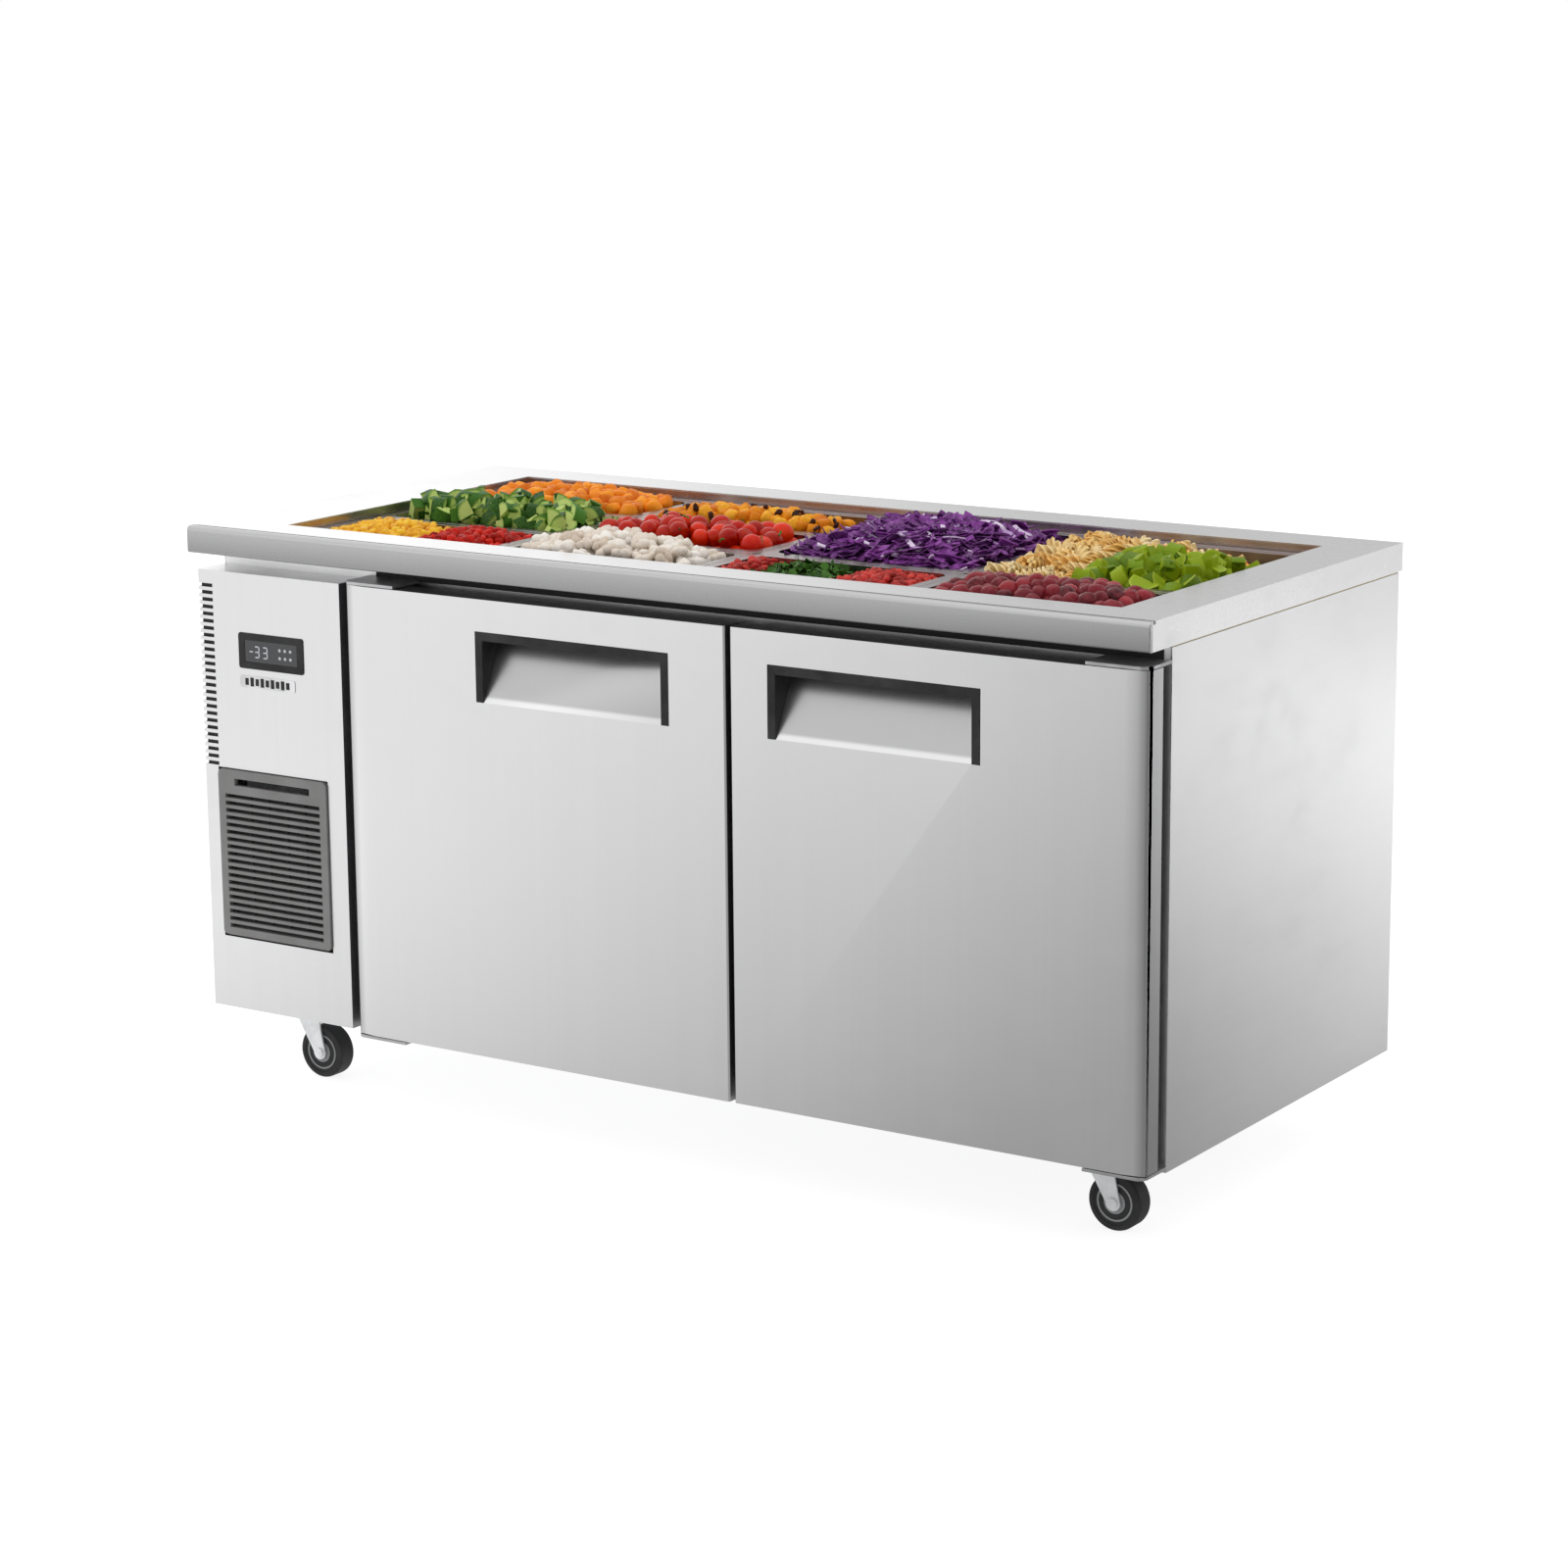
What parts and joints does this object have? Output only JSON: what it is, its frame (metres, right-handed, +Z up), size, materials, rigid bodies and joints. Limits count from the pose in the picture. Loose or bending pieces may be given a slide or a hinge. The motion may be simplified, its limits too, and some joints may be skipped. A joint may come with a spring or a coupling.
{
  "type": "sandwich prep table",
  "caption": "Refrigerated two-door prep counter with an open well of food pans in its worktop, a machine compartment with tilting grille, and swivel casters.",
  "frame": {"origin": "on the floor under the middle of the outer box", "axes": "+Z up, the doors and the nosing face -Y, the machine compartment is at -X"},
  "size_m": [1.5, 0.7, 0.8],
  "materials": {
    "steel": "satin brushed stainless steel",
    "steel_inner": "satin stainless steel, inner sheet",
    "galvanised": "galvanised sheet",
    "liner_steel": "satin stainless steel liner",
    "foam": null,
    "black_plastic": "fine grained black plastic",
    "grille_plastic": "moulded grey plastic",
    "lens_plastic": "smoked glossy window",
    "plate_metal": "satin blank plate",
    "white_plastic": "white moulded liner",
    "rubber_black": "soft black vinyl and rubber",
    "zinc": "bright zinc plate",
    "coated_wire": "plastic coated wire",
    "fins": "thin pressed fins",
    "black_paint": "black enamel",
    "copper": "copper tube",
    "pan_steel": "bright stainless steel pan",
    "filter_mesh": "filter gauze"
  },
  "bodies": {
    "cabinet": {"worktop": "steel", "well_frame": "steel_inner", "pan_bars": "steel_inner", "side_panel_left": "steel", "side_panel_right": "steel", "back_panel": "galvanised", "base_panel": "galvanised", "front_frame": "steel_inner", "inner_liner": "liner_steel", "insulation": "foam", "compressor_cover": "steel", "controller_housing": "black_plastic", "display_lens": "lens_plastic", "name_plate": "plate_metal", "upper_hinge_brackets": "zinc", "lower_hinge_brackets": "zinc", "wire_shelves": "coated_wire", "shelf_posts": "liner_steel", "cable_gland": "black_plastic", "caster_plates": "zinc", "evaporator_coil": "fins", "evaporator_housing": "liner_steel", "compressor": "black_paint", "condenser_coil": "fins", "fan_shroud": "black_plastic", "unit_tray": "galvanised", "refrigerant_pipes": "copper", "control_box": "galvanised"},
    "door_left": {"door_left_skin": "steel", "door_left_liner": "white_plastic", "door_left_gasket": "rubber_black", "door_left_handle": "black_plastic"},
    "door_right": {"door_right_skin": "steel", "door_right_liner": "white_plastic", "door_right_gasket": "rubber_black", "door_right_handle": "black_plastic"},
    "grille": {"grille": "grille_plastic", "air_filter": "filter_mesh"},
    "fork_front_left": {"fork_front_left": "zinc"},
    "fork_front_right": {"fork_front_right": "zinc"},
    "fork_rear_left": {"fork_rear_left": "zinc"},
    "fork_rear_right": {"fork_rear_right": "zinc"},
    "wheel_front_left": {"wheel_front_left": "rubber_black"},
    "wheel_front_right": {"wheel_front_right": "rubber_black"},
    "wheel_rear_left": {"wheel_rear_left": "rubber_black"},
    "wheel_rear_right": {"wheel_rear_right": "rubber_black"},
    "brake_pedal_left": {"brake_pedal_left": "zinc"},
    "brake_pedal_right": {"brake_pedal_right": "zinc"},
    "condenser_fan": {"condenser_fan": "black_plastic"},
    "evaporator_fan": {"evaporator_fan": "black_plastic"},
    "pan_1_front": {"pan_1_front": "pan_steel"},
    "pan_1_middle": {"pan_1_middle": "pan_steel"},
    "pan_1_rear": {"pan_1_rear": "pan_steel"},
    "pan_2_front": {"pan_2_front": "pan_steel"},
    "pan_2_middle": {"pan_2_middle": "pan_steel"},
    "pan_2_rear": {"pan_2_rear": "pan_steel"},
    "pan_3_front": {"pan_3_front": "pan_steel"},
    "pan_3_rear": {"pan_3_rear": "pan_steel"},
    "pan_4_front": {"pan_4_front": "pan_steel"},
    "pan_4_rear": {"pan_4_rear": "pan_steel"}
  },
  "joints": [
    {"name": "door_left_hinge", "type": "hinge", "parent": "cabinet", "child": "door_left", "pos_m": [-0.464, -0.336, 0.43], "axis": [0, 0, -1], "range_deg": [0, 90], "stiffness_Nm_per_rad": 0.8, "springref_deg": -17.19},
    {"name": "door_right_hinge", "type": "hinge", "parent": "cabinet", "child": "door_right", "pos_m": [0.736, -0.336, 0.43], "axis": [0, 0, 1], "range_deg": [0, 90], "stiffness_Nm_per_rad": 0.8, "springref_deg": -17.19},
    {"name": "grille_tilt", "type": "hinge", "parent": "cabinet", "child": "grille", "pos_m": [-0.6145, -0.3425, 0.231], "axis": [1, 0, 0], "range_deg": [0, 40]},
    {"name": "fork_front_left_swivel", "type": "hinge", "parent": "cabinet", "child": "fork_front_left", "pos_m": [-0.657, -0.225, 0.0932], "axis": [0, 0, 1], "continuous": true},
    {"name": "wheel_front_left_spin", "type": "hinge", "parent": "fork_front_left", "child": "wheel_front_left", "pos_m": [-0.635, -0.225, 0.0375], "axis": [0, 1, 0], "continuous": true},
    {"name": "fork_front_right_swivel", "type": "hinge", "parent": "cabinet", "child": "fork_front_right", "pos_m": [0.627, -0.225, 0.0932], "axis": [0, 0, 1], "continuous": true},
    {"name": "wheel_front_right_spin", "type": "hinge", "parent": "fork_front_right", "child": "wheel_front_right", "pos_m": [0.649, -0.225, 0.0375], "axis": [0, 1, 0], "continuous": true},
    {"name": "fork_rear_left_swivel", "type": "hinge", "parent": "cabinet", "child": "fork_rear_left", "pos_m": [-0.657, 0.234, 0.0932], "axis": [0, 0, 1], "continuous": true},
    {"name": "wheel_rear_left_spin", "type": "hinge", "parent": "fork_rear_left", "child": "wheel_rear_left", "pos_m": [-0.635, 0.234, 0.0375], "axis": [0, 1, 0], "continuous": true},
    {"name": "fork_rear_right_swivel", "type": "hinge", "parent": "cabinet", "child": "fork_rear_right", "pos_m": [0.418, 0.234, 0.0932], "axis": [0, 0, 1], "continuous": true},
    {"name": "wheel_rear_right_spin", "type": "hinge", "parent": "fork_rear_right", "child": "wheel_rear_right", "pos_m": [0.44, 0.234, 0.0375], "axis": [0, 1, 0], "continuous": true},
    {"name": "brake_pedal_left_press", "type": "hinge", "parent": "fork_front_left", "child": "brake_pedal_left", "pos_m": [-0.6885, -0.225, 0.0902], "axis": [0, -1, 0], "range_deg": [0, 12]},
    {"name": "brake_pedal_right_press", "type": "hinge", "parent": "fork_front_right", "child": "brake_pedal_right", "pos_m": [0.5955, -0.225, 0.0902], "axis": [0, -1, 0], "range_deg": [0, 12]},
    {"name": "condenser_fan_spin", "type": "hinge", "parent": "cabinet", "child": "condenser_fan", "pos_m": [-0.611, -0.2, 0.2176], "axis": [0, 1, 0], "continuous": true},
    {"name": "evaporator_fan_spin", "type": "hinge", "parent": "cabinet", "child": "evaporator_fan", "pos_m": [-0.376, 0.1, 0.455], "axis": [1, 0, 0], "continuous": true},
    {"name": "pan_1_front_lift", "type": "slide", "parent": "cabinet", "child": "pan_1_front", "axis": [0, 0, 1], "range_m": [0, 0.15]},
    {"name": "pan_1_middle_lift", "type": "slide", "parent": "cabinet", "child": "pan_1_middle", "axis": [0, 0, 1], "range_m": [0, 0.15]},
    {"name": "pan_1_rear_lift", "type": "slide", "parent": "cabinet", "child": "pan_1_rear", "axis": [0, 0, 1], "range_m": [0, 0.15]},
    {"name": "pan_2_front_lift", "type": "slide", "parent": "cabinet", "child": "pan_2_front", "axis": [0, 0, 1], "range_m": [0, 0.15]},
    {"name": "pan_2_middle_lift", "type": "slide", "parent": "cabinet", "child": "pan_2_middle", "axis": [0, 0, 1], "range_m": [0, 0.15]},
    {"name": "pan_2_rear_lift", "type": "slide", "parent": "cabinet", "child": "pan_2_rear", "axis": [0, 0, 1], "range_m": [0, 0.15]},
    {"name": "pan_3_front_lift", "type": "slide", "parent": "cabinet", "child": "pan_3_front", "axis": [0, 0, 1], "range_m": [0, 0.15]},
    {"name": "pan_3_rear_lift", "type": "slide", "parent": "cabinet", "child": "pan_3_rear", "axis": [0, 0, 1], "range_m": [0, 0.15]},
    {"name": "pan_4_front_lift", "type": "slide", "parent": "cabinet", "child": "pan_4_front", "axis": [0, 0, 1], "range_m": [0, 0.15]},
    {"name": "pan_4_rear_lift", "type": "slide", "parent": "cabinet", "child": "pan_4_rear", "axis": [0, 0, 1], "range_m": [0, 0.15]}
  ]
}
